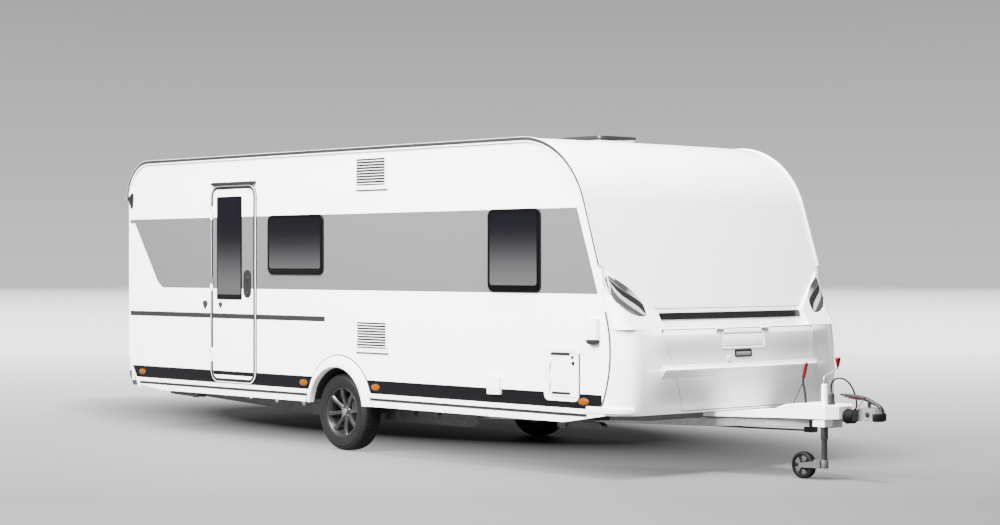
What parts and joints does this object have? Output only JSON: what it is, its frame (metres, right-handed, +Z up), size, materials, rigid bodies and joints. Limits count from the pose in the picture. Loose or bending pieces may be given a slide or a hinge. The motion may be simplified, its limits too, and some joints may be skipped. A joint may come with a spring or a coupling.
{
  "type": "travel caravan",
  "caption": "Towed travel caravan with a hollow hinged-door body, sloping front with a gas locker lid, torsion axle, A-frame drawbar, ball coupling and jockey wheel.",
  "frame": {"origin": "middle of the floor under the tyres, below the overall box's centre", "axes": "+X forward to the coupling, +Z up, the entry door on -Y"},
  "size_m": [8, 2.564, 2.631],
  "materials": {
    "body_white": "gloss",
    "front_white": "gloss",
    "floor_board": "matte",
    "trim_white": "satin",
    "rail_grey": "satin",
    "black_gloss": "gloss",
    "black_plastic": "matte",
    "window_tint": "gloss",
    "lamp_lens": "gloss",
    "marker_amber": "gloss",
    "lamp_red": "gloss",
    "galvanised": "satin",
    "tyre_rubber": "matte",
    "alloy_dark": "satin",
    "bellows_rubber": "matte",
    "head_steel": "satin",
    "grip_red": "satin",
    "jockey_rubber": "matte",
    "locker_board": "matte"
  },
  "bodies": {
    "caravan": {"axle": "galvanised", "bellows": "bellows_rubber", "chassis_rails": "galvanised", "corner_caps": "trim_white", "coupling_head": "head_steel", "coupling_tip": "black_plastic", "cross_members": "galvanised", "door_frame": "trim_white", "drawbar_arms": "galvanised", "drawbar_cover": "trim_white", "edge_rails": "rail_grey", "floor_panel": "floor_board", "fridge_vents": "trim_white", "front_lamps": "lamp_lens", "front_panel": "front_white", "handbrake_lever": "grip_red", "jockey_clamp": "trim_white", "jockey_tube": "head_steel", "lamp_pods": "front_white", "lead_cable": "bellows_rubber", "lead_plug": "black_plastic", "locker_bulkhead": "locker_board", "nose_panel": "front_white", "nose_strip": "black_gloss", "overrun_tube": "galvanised", "rear_bumper": "trim_white", "rear_lamps": "lamp_red", "rear_wall": "body_white", "roof_panel": "body_white", "rooflight": "black_plastic", "service_frame": "trim_white", "side_markers": "marker_amber", "side_skirts": "trim_white", "side_wall_left": "body_white", "side_wall_right": "body_white", "stabiliser_lever": "black_plastic", "steady_mounts": "galvanised", "wall_fittings": "trim_white", "wheel_arch_trims": "trim_white", "wheel_housings": "black_plastic", "window_frames": "black_plastic", "window_panes": "window_tint"},
    "wheel_right": {"tyre_right": "tyre_rubber", "rim_right": "alloy_dark"},
    "wheel_left": {"tyre_left": "tyre_rubber", "rim_left": "alloy_dark"},
    "entry_door": {"door_leaf": "body_white", "door_window": "window_tint", "door_handle": "black_plastic"},
    "gas_locker_lid": {"locker_lid": "front_white"},
    "service_hatch_door": {"service_door": "body_white"},
    "jockey_inner_leg": {"jockey_leg": "head_steel"},
    "jockey_swivel_fork": {"jockey_fork": "galvanised"},
    "jockey_roller": {"jockey_wheel": "jockey_rubber"},
    "front_right_steady": {"steady_front_right": "galvanised"},
    "front_left_steady": {"steady_front_left": "galvanised"},
    "rear_right_steady": {"steady_rear_right": "galvanised"},
    "rear_left_steady": {"steady_rear_left": "galvanised"}
  },
  "joints": [
    {"name": "wheel_right_spin", "type": "hinge", "parent": "caravan", "child": "wheel_right", "pos_m": [-0.75, -1.108, 0.327], "axis": [0, 1, 0], "continuous": true},
    {"name": "wheel_left_spin", "type": "hinge", "parent": "caravan", "child": "wheel_left", "pos_m": [-0.75, 1.108, 0.327], "axis": [0, 1, 0], "continuous": true},
    {"name": "entry_door_hinge", "type": "hinge", "parent": "caravan", "child": "entry_door", "pos_m": [-2.554, -1.27, 1.4], "axis": [0, 0, -1], "range_deg": [0, 170]},
    {"name": "gas_locker_lid_hinge", "type": "hinge", "parent": "caravan", "child": "gas_locker_lid", "pos_m": [2.669, 0, 1.093], "axis": [0, -1, 0], "range_deg": [0, 80]},
    {"name": "service_hatch_hinge", "type": "hinge", "parent": "caravan", "child": "service_hatch_door", "pos_m": [1.848, -1.266, 0.753], "axis": [0, 0, -1], "range_deg": [0, 120]},
    {"name": "jockey_lift", "type": "slide", "parent": "caravan", "child": "jockey_inner_leg", "axis": [0, 0, 1], "range_m": [0, 0.115]},
    {"name": "jockey_swivel", "type": "hinge", "parent": "jockey_inner_leg", "child": "jockey_swivel_fork", "pos_m": [3.545, -0.108, 0.12], "axis": [0, 0, 1], "continuous": true},
    {"name": "jockey_spin", "type": "hinge", "parent": "jockey_swivel_fork", "child": "jockey_roller", "pos_m": [3.355, -0.108, 0.1], "axis": [0, 1, 0], "continuous": true},
    {"name": "front_right_steady_hinge", "type": "hinge", "parent": "caravan", "child": "front_right_steady", "pos_m": [1.75, -1, 0.36], "axis": [0, 1, 0], "range_deg": [0, 53]},
    {"name": "front_left_steady_hinge", "type": "hinge", "parent": "caravan", "child": "front_left_steady", "pos_m": [1.75, 1, 0.36], "axis": [0, 1, 0], "range_deg": [0, 53]},
    {"name": "rear_right_steady_hinge", "type": "hinge", "parent": "caravan", "child": "rear_right_steady", "pos_m": [-3.15, -1, 0.36], "axis": [0, -1, 0], "range_deg": [0, 53]},
    {"name": "rear_left_steady_hinge", "type": "hinge", "parent": "caravan", "child": "rear_left_steady", "pos_m": [-3.15, 1, 0.36], "axis": [0, -1, 0], "range_deg": [0, 53]}
  ]
}
